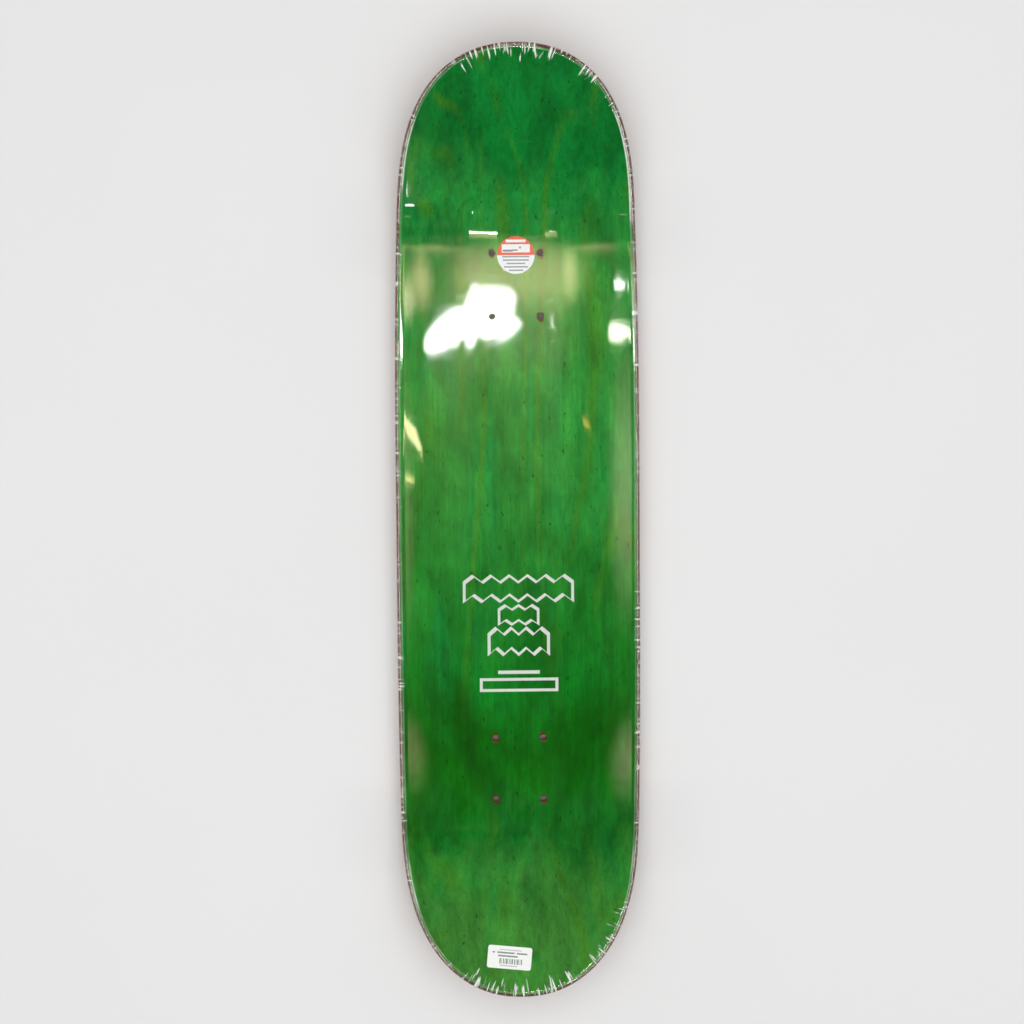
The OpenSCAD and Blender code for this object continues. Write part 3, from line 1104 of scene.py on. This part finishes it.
# Lamps: name, place, length along the deck, width, turn, brightness, colour and what it lights
LAMPS = (
    ("wash", (0.0, 0.0, 3.2), 5.0, 5.0, 0, 1.88, "#ffffff", "diffuse"),
    ("left_softbox", (-0.10, 1.66, 1.50), 3.4, 0.75, 0, 5.5, "#ffffff", "gloss"),
    ("right_softbox", (-0.10, -1.66, 1.50), 3.4, 0.75, 0, 5.5, "#ffffff", "gloss"),
    ("left_key", (-0.10, 1.62, 1.56), 2.0, 0.30, 0, 1.5, "#ffffff", "diffuse"),
    ("right_key", (-0.10, -1.62, 1.56), 2.0, 0.30, 0, 1.5, "#ffffff", "diffuse"),
    ("strip_lamp", (0.094, -0.440, 2.4), 0.064, 0.74, -5, 24.0, "#ffffff", "gloss"),
    ("strip_lamp_head", (0.127, -0.174, 2.4), 0.070, 0.23, -10, 24.0, "#ffffff", "gloss"),
    ("strip_lamp_foot", (0.092, -0.165, 2.4), 0.050, 0.24, -6, 24.0, "#ffffff", "gloss"),
    ("left_lamp_far", (0.164, 0.800, 2.4), 0.014, 0.13, 0, 30.0, "#ffffff", "gloss"),
    ("left_lamp_near", (0.085, 0.783, 2.4), 0.028, 0.24, 0, 22.0, "#fffbe8", "gloss"),
    ("right_lamp_far", (-0.091, -0.985, 2.4), 0.026, 0.30, 14, 14.0, "#ffeeb8", "gloss"),
    ("right_lamp_near", (-0.178, -0.997, 2.4), 0.012, 0.10, 0, 11.0, "#ffe9a8", "gloss"),
    ("amber_lamp", (-0.066, 0.377, 2.4), 0.007, 0.09, 8, 12.0, "#ffc060", "gloss"),
    ("nose_lamp", (-0.923, -0.115, 2.4), 0.14, 0.022, 0, 36.0, "#ffffff", "gloss"),
    ("nose_side_lamp", (-1.42, -1.10, 2.4), 0.26, 0.30, 0, 16.0, "#ffffff", "gloss"),
    ("nose_front_box", (1.75, 0.0, 1.50), 0.7, 1.3, 0, 3.5, "#fff0d0", "gloss"),
)

# Soft-edged glows of the diffusers, seen in reflections only: name, place, half length, half width,
# brightness, colour
GLOWS = (
    ("middle_glow", (0.185, -0.030), 0.085, 0.62, 4.3, "#ffdeae"),
    ("halo_glow", (0.100, -0.200), 0.120, 0.80, 0.8, "#ffdeae"),
    ("right_band", (0.236, -0.750), 0.022, 0.60, 3.2, "#ffdeae"),
    ("left_band", (0.236, 0.520), 0.022, 0.44, 3.2, "#ffdeae"),
    ("right_glow", (0.172, -0.880), 0.070, 0.24, 6.4, "#ffdeae"),
    ("right_glow_end", (0.134, -1.070), 0.055, 0.14, 7.5, "#ffe8c4"),
    ("left_glow", (0.185, 0.200), 0.065, 0.16, 4.4, "#ffdeae"),
    ("left_fill", (-0.20, 0.960), 0.300, 0.34, 2.4, "#ffe4c8"),
    ("right_fill", (-0.22, -1.130), 0.380, 0.14, 1.5, "#ffe4c0"),
    ("left_umbrella", (-0.700, 1.02), 0.100, 0.42, 2.2, "#ffe4c8"),
    ("right_umbrella", (-0.700, -1.24), 0.100, 0.46, 2.2, "#ffd8b4"),
)

# The glows hang over the lamps, one over the other, in metres
GLOW_HEIGHT = 2.45
GLOW_STEP = 0.01

# Black flags that keep the lamps out of the two bends: name, x of the faded edge and of the black one,
# y from and to
FLAGS = (
    ("nose_flag_left", 0.2440, 0.2565, 0.036, 0.135),
    ("nose_flag_middle", 0.2440, 0.2565, -0.025, 0.014),
    ("nose_flag_right", 0.2440, 0.2565, -0.135, -0.035),
    ("tail_flag", -0.2500, -0.2665, -0.135, 0.135),
)
FLAG_HEIGHT = 0.05

# How far the deck lies off the middle of the view, to the right and down, in mm
ASIDE = (4.85, -13.2, 0)


class DECK_OT_set_stage(bpy.types.Operator):
    """Set the pale floor, the surround, the lamps and the camera"""

    bl_idname = "deck.set_stage"
    bl_label = "Set stage"

    # How far the floor lies under the deck, in mm
    FLOOR_GAP = 0.02
    # Lamps over this size are boxes with corners, in square metres, and those below this height face
    # the deck, in metres
    BOX_AREA = 0.5
    LOW_HEIGHT = 2.0

    def execute(self, context):
        stage = context.scene.deck_stage
        self.lay_floor(context, stage)
        self.light_surround(context, stage)
        self.hang_lamps(context)
        self.hang_glows(context)
        self.hang_flags(context)
        self.set_camera(context, stage)
        context.scene.view_settings.view_transform = "Standard"
        return {"FINISHED"}

    def lay_floor(self, context, stage):
        bm = bmesh.new()
        bmesh.ops.create_grid(bm, x_segments=4, y_segments=4, size=stage.floor_side / 2)
        bmesh.ops.translate(bm, verts=bm.verts[:], vec=(0, 0, cad_box[0][2] - self.FLOOR_GAP * MM))
        link_object("floor", bm, painted_floor(context.scene.deck_finish))

    def light_surround(self, context, stage):
        """Pale walls all round and a dark ceiling, so that the film stays clear."""
        world = bpy.data.worlds.new("studio")
        world.use_nodes = True
        tree = world.node_tree
        tree.nodes.clear()
        up = add(tree, "TexCoord").outputs["Generated"]
        height = add(tree, "SeparateXYZ", {0: up}).outputs["Z"]
        wall = add(
            tree, "MapRange",
            {"Value": height, "From Min": 0.45, "From Max": 0.7, "To Min": stage.surround, "To Max": 0.02},
            interpolation_type="SMOOTHSTEP",
        )
        light = add(tree, "Background", {"Color": (1, 1, 1, 1), "Strength": wall})
        add(tree, "OutputWorld", {"Surface": light})
        context.scene.world = world

    def hang_lamps(self, context):
        for name, place, length, width, turn, brightness, tint, lights in LAMPS:
            light = bpy.data.lights.new(name, "AREA")
            light.shape = "RECTANGLE" if length * width > self.BOX_AREA else "ELLIPSE"
            light.size = length
            light.size_y = width
            light.energy = brightness * math.pi * length * width
            light.color = colour(tint)[:3]
            lamp = bpy.data.objects.new(name, light)
            lamp.location = place
            lamp.rotation_euler = (0, 0, math.radians(turn))
            if place[2] < self.LOW_HEIGHT:
                lean = Vector(place).to_track_quat("Z", "Y") if abs(place[0]) > 1 else None
                tilt = math.atan2(place[1], place[2])
                lamp.rotation_euler = lean.to_euler() if lean else (-tilt, 0, 0)
            lamp.visible_camera = False
            lamp.visible_diffuse = lights != "gloss"
            lamp.visible_glossy = lights != "diffuse"
            context.scene.collection.objects.link(lamp)

    def hang_glows(self, context):
        for number, (name, place, half_length, half_width, brightness, tint) in enumerate(GLOWS):
            material, tree = new_material(name)
            here = add(tree, "TexCoord").outputs["Object"]
            fall = add(tree, "TexGradient", {0: here}, gradient_type="SPHERICAL").outputs["Fac"]
            strength = add(
                tree, "MapRange", {"Value": fall, "From Max": 0.9, "To Max": brightness},
                interpolation_type="SMOOTHSTEP",
            )
            # Light that adds to what lies behind it
            glow_light = add(tree, "Emission", {"Color": colour(tint), "Strength": strength})
            clear = add(tree, "BsdfTransparent")
            shader = add(tree, "AddShader", {0: glow_light, 1: clear})
            finish_material(tree, shader)
            bm = bmesh.new()
            bmesh.ops.create_circle(bm, cap_ends=True, segments=48, radius=1.0)
            glow = link_object(name, bm, material)
            glow.location = (*place, GLOW_HEIGHT + GLOW_STEP * number)
            glow.scale = (half_length, half_width, 1)
            glow.visible_camera = False
            glow.visible_shadow = False
            glow.visible_diffuse = False

    def hang_flags(self, context):
        material, tree = new_material("black_flag")
        dark = add(tree, "Attribute", attribute_name="dark").outputs["Fac"]
        dark = add(tree, "MapRange", {"Value": dark, "From Max": 0.6}, interpolation_type="SMOOTHSTEP")
        clear = add(tree, "BsdfTransparent")
        black = add(tree, "BsdfDiffuse", {"Color": (0, 0, 0, 1)})
        shader = add(tree, "MixShader", {0: dark, 1: clear, 2: black})
        finish_material(tree, shader)
        for name, faded_x, black_x, low_y, high_y in FLAGS:
            bm = bmesh.new()
            bmesh.ops.create_grid(bm, x_segments=1, y_segments=1, size=0.5)
            layer = bm.verts.layers.float.new("dark")
            for vert in bm.verts:
                share = vert.co.x + 0.5
                vert[layer] = share
                vert.co.x = faded_x + share * (black_x - faded_x)
                vert.co.y = low_y + (vert.co.y + 0.5) * (high_y - low_y)
                vert.co.z = FLAG_HEIGHT
            flag = link_object(name, bm, material)
            flag.visible_camera = False
            flag.visible_diffuse = False

    def set_camera(self, context, stage):
        data = bpy.data.cameras.new("camera")
        data.lens = stage.lens
        data.sensor_width = 36.0
        data.dof.use_dof = False
        camera = bpy.data.objects.new("camera", data)
        view = Matrix.Translation(Vector(ASIDE) * MM + Vector((0, 0, -stage.camera_distance)))
        view = view @ Matrix.Rotation(stage.camera_roll, 4, "Z")
        view = view @ Matrix.Rotation(stage.camera_yaw, 4, "Y")
        view = view @ Matrix.Rotation(stage.camera_pitch, 4, "X") @ Matrix.Rotation(math.pi / 2, 4, "Z")
        camera.matrix_world = view.inverted()
        context.scene.collection.objects.link(camera)
        context.scene.camera = camera


class DECK_PT_panel(bpy.types.Panel):
    """Lists the deck's pieces, the stage and their settings"""

    bl_label = "Wrapped Skateboard Deck"
    bl_idname = "DECK_PT_panel"
    bl_space_type = "VIEW_3D"
    bl_region_type = "UI"
    bl_category = "Deck"

    def draw(self, context):
        for operator in OPERATORS:
            self.layout.operator(operator.bl_idname)
        for group, _ in GROUPS:
            settings = getattr(context.scene, group)
            for name in settings.__annotations__:
                self.layout.prop(settings, name)


GROUPS = (("deck_sizes", DeckSizes), ("deck_finish", DeckFinish), ("deck_stage", DeckStage))
OPERATORS = (
    DECK_OT_press_plies,
    DECK_OT_print_graphic,
    DECK_OT_wrap_film,
    DECK_OT_stick_sticker,
    DECK_OT_stick_label,
    DECK_OT_set_stage,
)


def register():
    for name, group in GROUPS:
        bpy.utils.register_class(group)
        setattr(bpy.types.Scene, name, PointerProperty(type=group))
    for cls in (*OPERATORS, DECK_PT_panel):
        bpy.utils.register_class(cls)


def unregister():
    for cls in (DECK_PT_panel, *reversed(OPERATORS)):
        bpy.utils.unregister_class(cls)
    for name, group in reversed(GROUPS):
        delattr(bpy.types.Scene, name)
        bpy.utils.unregister_class(group)


def main():
    register()
    bpy.ops.deck.press_plies()
    bpy.ops.deck.print_graphic()
    bpy.ops.deck.wrap_film()
    bpy.ops.deck.stick_sticker()
    bpy.ops.deck.stick_label()
    bpy.ops.deck.set_stage()


if __name__ == "__main__":
    main()
